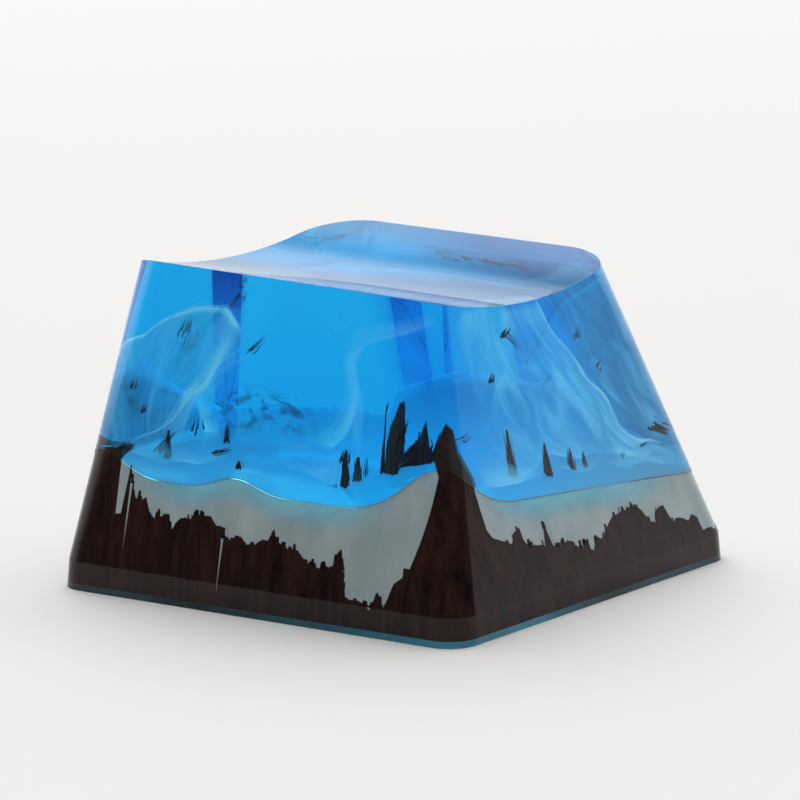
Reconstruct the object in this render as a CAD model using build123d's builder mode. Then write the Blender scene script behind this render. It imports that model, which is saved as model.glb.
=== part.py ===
"""Artisan keycap: broken wood under a milky pour, capped with clear blue resin.

X runs to the right, Y to the back of the keyboard and Z up. The origin is the middle of the skirt's
lower edge, on the axis of the stem. All sizes are in millimetres.
"""

import os
from math import atan, atan2, cos, degrees, exp, hypot, pi, sin, tan

from build123d import *

# Outside of the keycap
base_width = 18.1
base_depth = 18.1
base_corner = 1.1
skirt_height = 1.05
skirt_draft = 0.07
side_lean = 2.4
front_lean = 3.54
back_lean = 1.2
lean_height = 10.86
top_corner = 2.2
ridge_front = 11.65
ridge_back = 12.18
dish_depth = 0.9
rim_break = 0.1

# Hollow under the keycap and its clear lining
wall = 1.5
hollow_corner = 1.0
hollow_draft = 1.05
shoulder_height = 3.2
shoulder_run = 2.4
hollow_depth = 4.1
lining = 0.4
clear_edge = 0.24

# Stem with its cross socket
stem_diameter = 5.5
stem_recess = 0.3
cross_length = 4.0
cross_bar = 1.17
cross_post = 1.27
cross_clearance = 0.05
socket_depth = 3.7
socket_lead = 0.15

# Milky pour: its level at the faces, its fall to the right, its rise over the hollow
pour_level = 3.84
pour_fall = 0.054
pour_rise = 1.4
pour_margin = 0.75
pour_grid = 2.0
pour_tolerance = 0.1

# Where the pour climbs the wood: shares of the half width and half depth, rise, spread
menisci = [
    (-0.87, -0.84, 1.60, 1.9),
    (-0.88, 0.84, 0.85, 1.7),
    (-0.87, 0.13, 0.45, 1.3),
    (0.895, 0.355, 0.60, 1.6),
    (0.485, 0.93, 0.60, 1.6),
]

# Broken wood behind the faces
wood_cover = 0.25
fray_step = 0.36
fray_height = 0.13
fray_rhythm = 97
crack_width = 0.14
crack_depth = 0.7

# Break line on the left face, from the front corner to the back: share of the half depth, height
left_break = [
    (-1.00, 0.90), (-0.76, 0.90), (-0.72, 0.50), (-0.66, 0.50), (-0.63, 1.35), (-0.61, 1.62),
    (-0.58, 0.95), (-0.46, 1.30), (-0.43, 2.50), (-0.415, 2.85), (-0.38, 2.20), (-0.24, 2.30),
    (-0.21, 2.62), (-0.10, 2.85), (-0.085, 3.23), (-0.06, 2.80), (0.02, 2.50), (0.10, 2.76),
    (0.13, 2.60), (0.20, 3.05), (0.26, 3.35), (0.37, 3.15), (0.42, 2.70), (0.46, 3.10),
    (0.54, 3.12), (0.57, 3.68), (0.63, 3.64), (0.665, 4.75), (0.69, 2.95), (0.74, 3.15),
    (0.76, 5.25), (1.00, 5.20),
]

# Break line on the front face, from the left corner to the right: share of the half width, height
front_break = [
    (-1.00, 2.60), (-0.65, 2.88), (-0.52, 2.90), (-0.465, 3.34), (-0.41, 2.60), (-0.31, 2.52),
    (-0.285, 3.30), (-0.26, 2.45), (-0.15, 2.45), (-0.12, 2.12), (-0.04, 2.20), (0.01, 1.83),
    (0.04, 2.33), (0.10, 2.25), (0.15, 2.58), (0.24, 2.75), (0.32, 2.88), (0.40, 2.68),
    (0.47, 2.03), (0.50, 2.48), (0.56, 2.62), (0.61, 1.95), (0.68, 1.95), (0.78, 1.85),
    (0.80, 1.32), (1.00, 1.20),
]

# Cracks in the left face that the pour runs into: lower end and upper end, as share and height
cracks = [((0.66, 1.5), (0.652, 4.3)), ((0.166, 0.45), (0.164, 3.2))]

# Break line across the near corner, from the left face to the front face: share of the half span, height
corner_break = [
    (-1.00, 0.85), (-0.87, 0.95), (-0.71, 1.97), (-0.54, 2.37), (-0.37, 3.46), (-0.20, 4.60),
    (-0.07, 5.60), (-0.11, 6.15), (-0.03, 6.80), (0.08, 7.30), (0.18, 7.04), (0.23, 6.20),
    (0.42, 5.30), (0.51, 4.38), (0.60, 3.59), (0.68, 3.30), (1.00, 2.90),
]
corner_half = 2.6
corner_reach = 3.6

# Splinters that stand clear of the pour: shares of the half width and half depth, shank, tip height
splinters = [
    (-0.620, -0.500, 0.62, 7.6),
    (-0.535, -0.510, 0.50, 6.7),
    (-0.795, -0.355, 0.34, 6.1),
    (-0.740, -0.390, 0.42, 5.8),
    (-0.330, -0.745, 0.36, 6.5),
    (-0.110, -0.775, 0.44, 5.7),
    (0.065, -0.770, 0.36, 5.3),
    (0.155, -0.770, 0.30, 5.0),
    (-0.845, 0.145, 0.34, 5.3),
    (-0.750, 0.550, 0.34, 5.9),
]
splinter_root = 1.5
splinter_sink = 0.2
splinter_flat = 0.75
splinter_point = 0.48
splinter_turn = 37

# White wisps that rise from the pour: flat veils that lean with a face, at a depth behind its middle
veil_thickness = 0.2
bell_depth = 3.9
bell_turn = 18
column_depth = 2.2
column_turn = -11

# Outlines of the wisps, from foot to foot by arcs: ends and middles of the arcs by turns, as share and height
bell_outline = [
    (0.80, 4.3), (0.70, 5.9), (0.58, 7.1), (0.71, 7.2), (0.84, 7.5), (0.56, 10.5), (0.27, 9.4),
    (0.39, 8.1), (0.50, 6.4), (0.535, 5.3), (0.55, 4.3),
]
column_outline = [
    (0.66, 4.4), (0.30, 8.0), (0.03, 10.9), (-0.05, 11.0), (-0.12, 10.6), (-0.01, 7.6), (0.22, 4.2),
]

# Worked-out sizes
half_width = base_width / 2
half_depth = base_depth / 2
dish_half = half_width - skirt_draft - side_lean
dish_radius = (dish_half**2 + dish_depth**2) / (2 * dish_depth)
dish_rise = degrees(atan((ridge_back - ridge_front) / (base_depth - front_lean - back_lean)))
dish_middle = (front_lean - back_lean) / 2
dish_floor = (ridge_front + ridge_back) / 2 - dish_depth
blank_height = ridge_back + dish_depth
wall_slope = atan2(hollow_draft, shoulder_height)
roof_slope = atan2(hollow_depth - shoulder_height, shoulder_run)
side_slope = atan2(side_lean, lean_height)
front_slope = atan2(front_lean, lean_height)
break_reach = wall + hollow_draft


def lean_share(height):
    """How much of the full lean the walls have at a height above the skirt."""
    return (height - skirt_height) / lean_height


def outer_section(height):
    """Rounded outline of the keycap at a height on or above the skirt's top."""
    share = lean_share(height)
    width = base_width - 2 * skirt_draft - 2 * side_lean * share
    depth = base_depth - 2 * skirt_draft - (front_lean + back_lean) * share
    radius = base_corner + (top_corner - base_corner) * share
    with BuildSketch(Plane.XY.offset(height)) as section:
        with Locations((0, dish_middle * share)):
            RectangleRounded(width, depth, radius)
    return section.sketch


def tapered_form(width, depth, height, slope, corner):
    """Upright block whose four sides lean in by a slope, with its corners rounded if a radius is given."""
    with BuildPart() as form:
        with BuildSketch():
            Rectangle(width, depth)
        extrude(amount=height, taper=degrees(slope))
        if corner:
            leaning = form.edges() - form.edges().filter_by(Plane.XY)
            fillet(leaning, corner)
    return form.part


def hollow_form(grow, corner):
    """Solid of the hollow, grown by a thickness on its walls, its shoulder and its roof."""
    walls_out = grow / cos(wall_slope) - wall
    roof_out = grow / sin(roof_slope) + shoulder_height / tan(roof_slope) - break_reach
    height = hollow_depth + grow
    walls = tapered_form(base_width + 2 * walls_out, base_depth + 2 * walls_out, height, wall_slope, corner)
    roof_lean = pi / 2 - roof_slope
    roof = tapered_form(base_width + 2 * roof_out, base_depth + 2 * roof_out, height, roof_lean, corner)
    with BuildPart() as form:
        add(walls)
        add(roof, mode=Mode.INTERSECT)
    return form.part


def pour_height(x, y):
    """Height of the milky pour's upper surface."""
    across = max(0, 1 - (x / (half_width - pour_margin)) ** 4)
    along = max(0, 1 - (y / (half_depth - pour_margin)) ** 4)
    height = pour_level - pour_fall * x + pour_rise * across * along
    for x_share, y_share, rise, spread in menisci:
        distance = hypot(x - x_share * half_width, y - y_share * half_depth)
        height += rise * exp(-((distance / spread) ** 2))
    return height


def frayed(break_line, half_length):
    """Break line in millimetres, with fine uneven teeth along its longer stretches."""
    points = [(share * half_length, height) for share, height in break_line]
    teeth = [points[0]]
    for (start, start_height), (end, end_height) in zip(points, points[1:]):
        gaps = int((end - start) / fray_step) + 1
        for tooth in range(1, gaps):
            place = start + (end - start) * tooth / gaps
            level = start_height + (end_height - start_height) * tooth / gaps
            teeth.append((place, level + fray_height * sin(fray_rhythm * place)))
        teeth.append((end, end_height))
    return teeth


def wood_slab(plane, outline, half_length, inward):
    """Slab of wood behind one face, with a break line as its upper edge."""
    with BuildPart() as slab:
        with BuildSketch(plane):
            with BuildLine():
                Polyline((-half_length, 0), *outline, (half_length, 0), close=True)
            make_face()
        extrude(amount=inward)
    return slab.part


def standing_splinter(x_share, y_share, width, tip, turn):
    """Four-sided splinter: an upright shank up to the pour, then a point."""
    x = x_share * half_width
    y = y_share * half_depth
    shank_top = pour_height(x, y) - splinter_sink
    point = tip - shank_top
    narrowing = degrees(atan(width * splinter_flat * splinter_point / point))
    with BuildPart() as splinter:
        with BuildSketch(Plane((x, y, splinter_root))):
            Rectangle(width, width * splinter_flat, rotation=turn)
        extrude(amount=shank_top - splinter_root)
        extrude(splinter.faces().sort_by(Axis.Z)[-1], amount=point, taper=narrowing)
    return splinter.part


def wisp_veil(plane, outline, half_length):
    """Thin flat veil with arcs round its outline and a straight foot."""
    points = [(share * half_length, height) for share, height in outline]
    with BuildPart() as veil:
        with BuildSketch(plane):
            with BuildLine():
                for start in range(0, len(points) - 2, 2):
                    ThreePointArc(*points[start : start + 3])
                Line(points[-1], points[0])
            make_face()
        extrude(amount=veil_thickness / 2, both=True)
    return veil.part


# Outer form: upright skirt, leaning walls, cylindrical dish with a softened rim
skirt_foot = Sketch() + RectangleRounded(base_width, base_depth, base_corner)
skirt_top = outer_section(skirt_height)
blank_top = outer_section(blank_height)
dish_axis = Plane((0, dish_middle, dish_floor + dish_radius), x_dir=(1, 0, 0), z_dir=(0, -1, 0))
with BuildPart() as keycap_form:
    loft([skirt_foot, skirt_top], ruled=True)
    loft([skirt_top, blank_top], ruled=True)
    with BuildSketch(dish_axis.rotated((dish_rise, 0, 0))):
        Circle(dish_radius)
    extrude(amount=base_depth, both=True, mode=Mode.SUBTRACT)
    dish = keycap_form.faces().filter_by(GeomType.CYLINDER).sort_by(Axis.Z)[-1]
    chamfer(dish.edges(), rim_break)
with BuildPart() as skirt_edge:
    add(keycap_form.part)
    split(bisect_by=Plane.XY.offset(clear_edge), keep=Keep.BOTTOM)
with BuildPart() as cast_body:
    add(keycap_form.part)
    split(bisect_by=Plane.XY.offset(clear_edge), keep=Keep.TOP)

# Everything under the milky pour's upper surface
x_steps = round(base_width / pour_grid) + 2
y_steps = round(base_depth / pour_grid) + 2
x_grid = [pour_grid * (step - x_steps / 2) for step in range(x_steps + 1)]
y_grid = [pour_grid * (step - y_steps / 2) for step in range(y_steps + 1)]
pour_points = [[(x, y, pour_height(x, y)) for y in y_grid] for x in x_grid]
pour_surface = Face.make_surface_from_array_of_points(pour_points, tol=pour_tolerance)
with BuildPart() as under_pour:
    extrude(pour_surface, amount=2 * pour_level, dir=(0, 0, -1))

# Clear casting: thin edge under the skirt, lining of the hollow, stem with its cross socket
hollow = hollow_form(0, hollow_corner)
lined_hollow = hollow_form(lining, 0)
wood_core = hollow_form(lining + wood_cover, 0)
with BuildPart() as stem_liner:
    add(lined_hollow)
    add(skirt_edge.part)
    add(hollow, mode=Mode.SUBTRACT)
    with BuildSketch(Plane.XY.offset(stem_recess)):
        Circle(stem_diameter / 2)
    extrude(amount=hollow_depth + lining / 2 - stem_recess)
    with BuildSketch(Plane.XY.offset(stem_recess)):
        Rectangle(cross_length + 2 * cross_clearance, cross_bar + 2 * cross_clearance)
        Rectangle(cross_post + 2 * cross_clearance, cross_length + 2 * cross_clearance)
    extrude(amount=socket_depth, mode=Mode.SUBTRACT)
    stem_end = stem_liner.faces().filter_by_position(Axis.Z, stem_recess, stem_recess)
    chamfer(stem_end.edges(), socket_lead)
stem_liner.part.label = "stem_liner"

# Broken wood: slabs behind the faces and the near corner, a cover over the lining, standing splinters
left_edge = frayed(left_break, half_depth)
front_edge = frayed(front_break, half_width)
right_edge = [(-place * half_depth / half_width, height) for place, height in reversed(front_edge)]
back_edge = [(-place * half_width / half_depth, height) for place, height in reversed(left_edge)]
corner_edge = [(share * corner_half, height) for share, height in corner_break]
near_corner = Plane((-half_width, -half_depth, 0), x_dir=(1, -1, 0), z_dir=(-1, -1, 0))
wood_slabs = [
    wood_slab(near_corner, corner_edge, corner_half, -corner_reach),
    wood_slab(Plane.YZ.offset(-half_width), left_edge, half_depth, break_reach),
    wood_slab(Plane.XZ.offset(half_depth), front_edge, half_width, -break_reach),
    wood_slab(Plane.YZ.offset(half_width), right_edge, half_depth, -break_reach),
    wood_slab(Plane.XZ.offset(-half_depth), back_edge, half_width, break_reach),
]
standing = [standing_splinter(*size, place * splinter_turn) for place, size in enumerate(splinters)]
with BuildPart() as wood_base:
    add(wood_slabs)
    add(wood_core)
    add(standing)
    with BuildSketch(Plane.YZ.offset(-half_width)):
        for (low, low_height), (high, high_height) in cracks:
            with BuildLine():
                Polyline(
                    (low * half_depth, low_height),
                    (high * half_depth - crack_width / 2, high_height),
                    (high * half_depth + crack_width / 2, high_height),
                    close=True,
                )
            make_face()
    extrude(amount=side_lean * lean_share(pour_level) + crack_depth, mode=Mode.SUBTRACT)
    add(cast_body.part, mode=Mode.INTERSECT)
    add(lined_hollow, mode=Mode.SUBTRACT)
wood_base.part.label = "wood_base"

# Milky pour: all that lies under its surface and is neither wood nor lining
with BuildPart() as white_resin_layer:
    add(cast_body.part)
    add(under_pour.part, mode=Mode.INTERSECT)
    add(lined_hollow, mode=Mode.SUBTRACT)
    add(wood_base.part, mode=Mode.SUBTRACT)
white_resin_layer.part.label = "white_resin_layer"

# White wisps: a bell behind the left face and a column behind the front face, both standing on the pour
behind_left = Plane.YZ.offset(bell_depth - half_width).rotated((0, degrees(side_slope), 0))
with BuildPart() as bell_wisp:
    add(wisp_veil(behind_left.rotated((0, 0, bell_turn)), bell_outline, half_depth))
    add(under_pour.part, mode=Mode.SUBTRACT)
    add(wood_base.part, mode=Mode.SUBTRACT)
bell_wisp.part.label = "bell_wisp"
behind_front = Plane.XZ.offset(half_depth - column_depth).rotated((-degrees(front_slope), 0, 0))
with BuildPart() as column_wisp:
    add(wisp_veil(behind_front.rotated((0, 0, column_turn)), column_outline, half_width))
    add(under_pour.part, mode=Mode.SUBTRACT)
    add(wood_base.part, mode=Mode.SUBTRACT)
column_wisp.part.label = "column_wisp"

# Clear blue pour: the rest of the keycap, up to the dished top
with BuildPart() as blue_resin_cap:
    add(cast_body.part)
    add(under_pour.part, mode=Mode.SUBTRACT)
    add(lined_hollow, mode=Mode.SUBTRACT)
    add(wood_base.part, mode=Mode.SUBTRACT)
    add(bell_wisp.part, mode=Mode.SUBTRACT)
    add(column_wisp.part, mode=Mode.SUBTRACT)
blue_resin_cap.part.label = "blue_resin_cap"

os.makedirs("parts", exist_ok=True)
export_step(wood_base.part, "parts/wood_base.step")
export_step(white_resin_layer.part, "parts/white_resin_layer.step")
export_step(bell_wisp.part, "parts/bell_wisp.step")
export_step(column_wisp.part, "parts/column_wisp.step")
export_step(blue_resin_cap.part, "parts/blue_resin_cap.step")
export_step(stem_liner.part, "parts/stem_liner.step")
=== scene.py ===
"""Artisan keycap: broken wood under a milky pour, capped with clear blue resin and white wisps.

Forms are modelled in millimetres and brought to metres when they are finished.
"""

import math
import random

import bpy
from mathutils import Matrix, Vector, noise


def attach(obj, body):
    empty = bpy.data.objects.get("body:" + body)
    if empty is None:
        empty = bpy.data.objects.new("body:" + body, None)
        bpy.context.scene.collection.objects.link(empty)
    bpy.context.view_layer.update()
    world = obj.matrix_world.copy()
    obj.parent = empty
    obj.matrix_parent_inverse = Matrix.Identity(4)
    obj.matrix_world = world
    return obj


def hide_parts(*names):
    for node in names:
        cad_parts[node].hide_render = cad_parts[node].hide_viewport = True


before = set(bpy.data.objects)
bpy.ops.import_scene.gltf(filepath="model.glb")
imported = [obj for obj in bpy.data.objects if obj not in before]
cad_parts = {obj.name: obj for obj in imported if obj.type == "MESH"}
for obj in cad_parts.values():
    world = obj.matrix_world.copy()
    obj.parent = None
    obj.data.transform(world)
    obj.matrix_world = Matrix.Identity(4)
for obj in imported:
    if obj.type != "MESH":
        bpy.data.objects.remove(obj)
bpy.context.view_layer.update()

MM = 0.001

# Camera, fitted to the photo's corners
IMAGE_SIZE = 800
CAMERA_BACK = Vector((-0.7976, -0.5762, 0.1782)).normalized()
CAMERA_ROLL = math.radians(-0.53)
CAMERA_DISTANCE = 150.094
CAMERA_ASIDE = 0.08
CAMERA_RAISE = 6.399
CAMERA_LENS = 180.93
CAMERA_SENSOR = 36.0
CAMERA_CLIP = (0.01, 20)

# Studio: a dim room with a bright ceiling and a white sweep that rises behind the keycap
SWEEP_UP = Vector((-0.26, -0.19, 1))
ROOM_LIGHT = (0.16, 0.16, 0.165, 1)
SWEEP_LIGHT = (0.95, 0.95, 0.96, 1)
SWEEP_FALL = (0.13, 0.0)
CEILING_UP = Vector((0.25, 0.18, 0.95))
CEILING_LIGHT = (2.1, 2.1, 2.1, 1)
CEILING_RISE = (0.62, 0.9)
FLOOR_COLOUR = (0.8, 0.79, 0.775, 1)
FLOOR_SIZE = 4

# Soft boxes: name, place, size and power
LAMP_AIM = (0, 0, 0.005)
SOFT_BOXES = [
    ("soft_box_above", (0.3, 0.4, 0.5), 0.5, 1.0),
    ("soft_box_front", (0.35, -0.5, 0.35), 0.4, 0.25),
]

# Outside of the keycap
HALF_WIDTH = 9.05
HALF_DEPTH = 9.05
BASE_CORNER = 1.1
SKIRT_HEIGHT = 1.05
SKIRT_DRAFT = 0.07
SIDE_LEAN = 2.4
FRONT_LEAN = 3.54
BACK_LEAN = 1.2
LEAN_HEIGHT = 10.86
TOP_CORNER = 2.2
RIDGE_FRONT = 11.65
RIDGE_BACK = 12.18
DISH_DEPTH = 0.9
DISH_SINK = 0.03
RIM_ROUND = 0.25
RIM_SEGMENTS = 5
SMOOTH_ANGLE = math.radians(35)
DISH_HALF = HALF_WIDTH - SKIRT_DRAFT - SIDE_LEAN
DISH_RADIUS = (DISH_HALF**2 + DISH_DEPTH**2) / (2 * DISH_DEPTH)
DISH_RISE = math.atan((RIDGE_BACK - RIDGE_FRONT) / (2 * HALF_DEPTH - FRONT_LEAN - BACK_LEAN))
DISH_MIDDLE = (FRONT_LEAN - BACK_LEAN) / 2
DISH_FLOOR = (RIDGE_FRONT + RIDGE_BACK) / 2 - DISH_DEPTH

# Milky pour
POUR_LEVEL = 3.84
POUR_FALL = 0.054
POUR_RISE = 1.4
POUR_MARGIN = 0.75

# Where the pour climbs the wood: shares of the half width and half depth, rise, spread
MENISCI = [
    (-0.87, -0.84, 1.60, 1.9),
    (-0.88, 0.84, 0.85, 1.7),
    (-0.87, 0.13, 0.45, 1.3),
    (0.895, 0.355, 0.60, 1.6),
    (0.485, 0.93, 0.60, 1.6),
]

# Hollow under the keycap
WALL = 1.5
HOLLOW_DRAFT = 1.05
SHOULDER_HEIGHT = 3.2
SHOULDER_RUN = 2.4
HOLLOW_DEPTH = 4.1
LINING = 0.4
CLEAR_EDGE = 0.24
WOOD_COVER = 0.25

# Wisps: the near corner in the photo, the swirl of the smoke, and the make of the threads and sheets
RESIN_IOR = 1.5
NEAR_CORNER_PIXEL = 448
SWIRL_SEED = 15
SWIRL_SIZE = 0.7
SWIRL_REACH = 0.3
WALL_MARGIN = 0.1
THREAD_STEPS = 20
THREAD_STARTS = (0, 0.35)
THREAD_ENDS = (0.65, 1)
THREAD_WEIGHTS = (0.4, 1.3)
THREAD_TIP = 0.04
THREAD_TAPER = 0.6
STRANDS = 14
STRAND_SPREAD = 0.03
SWAY_PLACES = 50
VEIL_STEPS = 56
VEIL_THICKNESS = 0.02
VEIL_SPACING = 10

# Threads of the wisps: guide lines (photo pixel, depth behind the face), number, radius and drift of threads
BELL_THREADS = [
    ([[(116, 374, 1.5), (135, 347, 1.6), (155, 325, 1.8), (175, 309, 2.0), (201, 303, 2.4), (224, 306, 2.8),
       (242, 317, 3.2), (245, 341, 3.4), (236, 356, 3.2)],
      [(128, 392, 2.2), (150, 352, 2.4), (172, 325, 2.6), (200, 313, 2.8), (222, 318, 3.1), (234, 330, 3.3),
       (232, 346, 3.3), (222, 356, 3.1)]], 26, 0.003, 0.14),
    ([[(243, 330, 3.3), (236, 356, 3.2), (216, 368, 2.8), (200, 384, 2.4), (185, 404, 2.0), (169, 418, 1.7),
       (145, 428, 1.4), (128, 440, 1.2)],
      [(228, 340, 3.2), (214, 356, 3.0), (198, 374, 2.6), (186, 396, 2.2), (176, 418, 1.9), (172, 436, 1.7),
       (168, 450, 1.5)]], 30, 0.003, 0.2),
    ([[(178, 312, 2.2), (160, 338, 2.2), (142, 364, 2.0), (130, 384, 1.8)],
      [(205, 306, 2.5), (190, 334, 2.6), (172, 362, 2.5), (163, 382, 2.3)],
      [(222, 322, 3.0), (206, 350, 3.0), (192, 376, 2.8), (180, 400, 2.5)]], 14, 0.003, 0.2),
]
COLUMN_THREADS = [
    ([[(531, 301, 1.2), (549, 326, 1.4), (564, 350, 1.5), (584, 373, 1.6), (602, 393, 1.5), (615, 416, 1.4),
       (629, 434, 1.2), (654, 444, 0.9)],
      [(520, 304, 1.8), (536, 329, 2.0), (552, 354, 2.2), (570, 378, 2.2), (588, 399, 2.1), (600, 422, 2.0),
       (614, 441, 1.8), (638, 452, 1.4)]], 34, 0.003, 0.14),
    ([[(488, 426, 2.2), (494, 390, 2.4), (503, 376, 2.6), (513, 378, 2.7), (523, 400, 2.8), (527, 428, 2.8)],
      [(494, 430, 2.5), (500, 400, 2.7), (506, 388, 2.8), (512, 390, 2.9), (517, 406, 3.0),
       (519, 432, 3.0)]],
     10, 0.003, 0.08),
]
LOOP_THREADS = [
    ([[(240, 357, 3.2), (216, 370, 3.4), (205, 388, 3.6), (202, 408, 3.8), (207, 428, 4.0), (219, 443, 4.0),
       (236, 450, 3.9), (258, 456, 3.7), (288, 460, 3.5), (318, 452, 3.4), (341, 433, 3.3), (351, 408, 3.3),
       (353, 384, 3.4)],
      [(246, 366, 3.6), (224, 377, 3.8), (213, 392, 4.0), (210, 410, 4.2), (215, 426, 4.3), (227, 438, 4.3),
       (242, 444, 4.2), (262, 449, 4.0), (288, 452, 3.8), (312, 445, 3.7), (333, 428, 3.6), (343, 407, 3.6),
       (346, 388, 3.7)]], 24, 0.003, 0.16),
    ([[(317, 292, 2.5), (320, 318, 2.8), (331, 333, 3.0), (352, 329, 3.0), (383, 317, 2.8)],
      [(338, 290, 2.8), (341, 306, 3.0), (350, 316, 3.2), (370, 312, 3.2), (400, 304, 3.0)]],
     5, 0.003, 0.05),
]

# Smoky sheets of the wisps: guide lines, cover, then fade and crest at the start, end, first and last edges
BELL_VEILS = [
    ([[(118, 368, 1.4), (113, 395, 1.3), (110, 420, 1.2), (108, 443, 1.0)],
      [(138, 342, 1.6), (130, 372, 1.6), (124, 405, 1.5), (124, 446, 1.2)],
      [(166, 314, 1.9), (152, 350, 2.0), (142, 395, 1.9), (138, 448, 1.4)],
      [(200, 303, 2.4), (180, 345, 2.5), (164, 395, 2.2), (152, 450, 1.6)],
      [(228, 308, 2.9), (208, 352, 2.9), (184, 398, 2.5), (166, 452, 1.8)],
      [(246, 330, 3.3), (228, 364, 3.0), (202, 392, 2.6), (182, 452, 1.9)]],
     0.4, ((0.05, 0.7), (0.2, 0), (0.15, 0.2), (0.07, 0.6))),
    ([[(243, 322, 3.6), (240, 352, 3.5), (220, 370, 3.1), (203, 386, 2.7), (188, 406, 2.3), (172, 422, 2.0),
       (148, 432, 1.6), (124, 442, 1.2)],
      [(222, 330, 3.4), (210, 350, 3.2), (196, 370, 2.9), (182, 392, 2.5), (168, 414, 2.2), (156, 426, 1.9),
       (138, 432, 1.5), (120, 436, 1.2)]],
     0.3, ((0.2, 0), (0.2, 0), (0.2, 0.5), (0.4, 0.2))),
]
COLUMN_VEILS = [
    ([[(534, 298, 1.0), (548, 318, 1.2), (567, 348, 1.4), (584, 373, 1.5), (601, 390, 1.4), (613, 410, 1.3),
       (623, 425, 1.1), (640, 436, 0.9), (668, 441, 0.6)],
      [(527, 301, 1.3), (540, 324, 1.5), (557, 353, 1.7), (573, 378, 1.8), (590, 397, 1.7), (602, 418, 1.6),
       (612, 434, 1.4), (630, 446, 1.1), (660, 452, 0.8)],
      [(505, 303, 1.8), (514, 330, 2.0), (528, 360, 2.2), (542, 385, 2.3), (556, 407, 2.2), (566, 428, 2.1),
       (578, 445, 1.9), (600, 458, 1.5), (640, 464, 1.0)],
      [(478, 304, 1.9), (484, 332, 2.1), (493, 362, 2.3), (503, 388, 2.4), (514, 411, 2.3), (524, 433, 2.2),
       (538, 452, 1.9), (565, 468, 1.4), (610, 474, 0.9)],
      [(456, 306, 1.6), (458, 334, 1.8), (462, 364, 1.9), (467, 392, 2.0), (473, 416, 1.9), (480, 438, 1.8),
       (492, 460, 1.5), (520, 480, 1.0), (570, 484, 0.6)]],
     0.4, ((0.06, 0.2), (0.12, 0.2), (0.05, 0.7), (0.2, 0))),
    ([[(488, 432, 3.0), (492, 390, 3.2), (503, 372, 3.4), (513, 374, 3.5), (526, 400, 3.6), (530, 432, 3.6)],
      [(496, 434, 3.3), (501, 404, 3.5), (506, 392, 3.6), (511, 393, 3.7), (516, 408, 3.8),
       (518, 434, 3.8)]],
     0.3, ((0.3, 0), (0.3, 0), (0.3, 0.5), (0.5, 0))),
]
LOOP_VEILS = [
    ([[(244, 354, 4.2), (214, 368, 4.4), (202, 388, 4.6), (198, 408, 4.8), (203, 430, 5.0), (217, 447, 5.0),
       (235, 455, 4.9), (258, 461, 4.7), (288, 466, 4.5), (320, 457, 4.4), (345, 436, 4.3), (356, 408, 4.3),
       (358, 380, 4.4)],
      [(252, 368, 4.6), (228, 379, 4.8), (216, 394, 5.0), (213, 410, 5.2), (218, 424, 5.3), (230, 435, 5.3),
       (244, 440, 5.2), (263, 445, 5.0), (288, 448, 4.8), (310, 441, 4.7), (329, 426, 4.6), (338, 406, 4.6),
       (340, 388, 4.7)]],
     0.5, ((0.15, 0), (0.15, 0), (0.25, 0.6), (0.6, 0))),
    ([[(364, 470, 1.5), (363, 400, 1.6), (366, 352, 1.7), (384, 340, 1.7), (440, 330, 1.2)],
      [(350, 476, 1.5), (346, 400, 1.6), (346, 340, 1.7), (370, 322, 1.7), (440, 310, 1.2)]],
     0.14, ((0.2, 0), (0.2, 0), (0.3, 0.3), (0.6, 0))),
]
LOW_VEILS = [
    ([[(104, 432, 1.0), (150, 436, 1.2), (200, 446, 1.6), (250, 460, 1.8), (290, 464, 1.8), (325, 456, 1.8),
       (350, 440, 1.8)],
      [(104, 452, 0.5), (150, 472, 0.6), (200, 484, 0.7), (250, 488, 0.8), (290, 498, 0.8), (330, 496, 0.8),
       (380, 480, 0.8)]],
     0.32, ((0.12, 0), (0.3, 0), (0.4, 0), (0.1, 0.3))),
    ([[(470, 446, 1.0), (510, 460, 1.0), (550, 464, 1.0), (600, 458, 0.9), (660, 444, 0.7), (686, 446, 0.5)],
      [(472, 490, 0.5), (515, 500, 0.5), (560, 494, 0.5), (610, 484, 0.5), (665, 474, 0.4),
       (690, 466, 0.3)]],
     0.34, ((0.15, 0), (0.1, 0), (0.4, 0), (0.12, 0.5))),
]

# Dim sheet of painted shade in the dark wedge at the right of the front face, behind the column
WEDGE_SHADE_VEILS = [
    ([[(540, 290, 2.8), (572, 340, 2.8), (596, 376, 2.6), (622, 412, 2.2), (650, 436, 1.6)],
      [(596, 262, 2.0), (622, 320, 2.0), (642, 362, 1.8), (662, 408, 1.4), (678, 440, 1.0)]],
     0.5, ((0.1, 0), (0.2, 0), (0.08, 0), (0.15, 0))),
]
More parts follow.
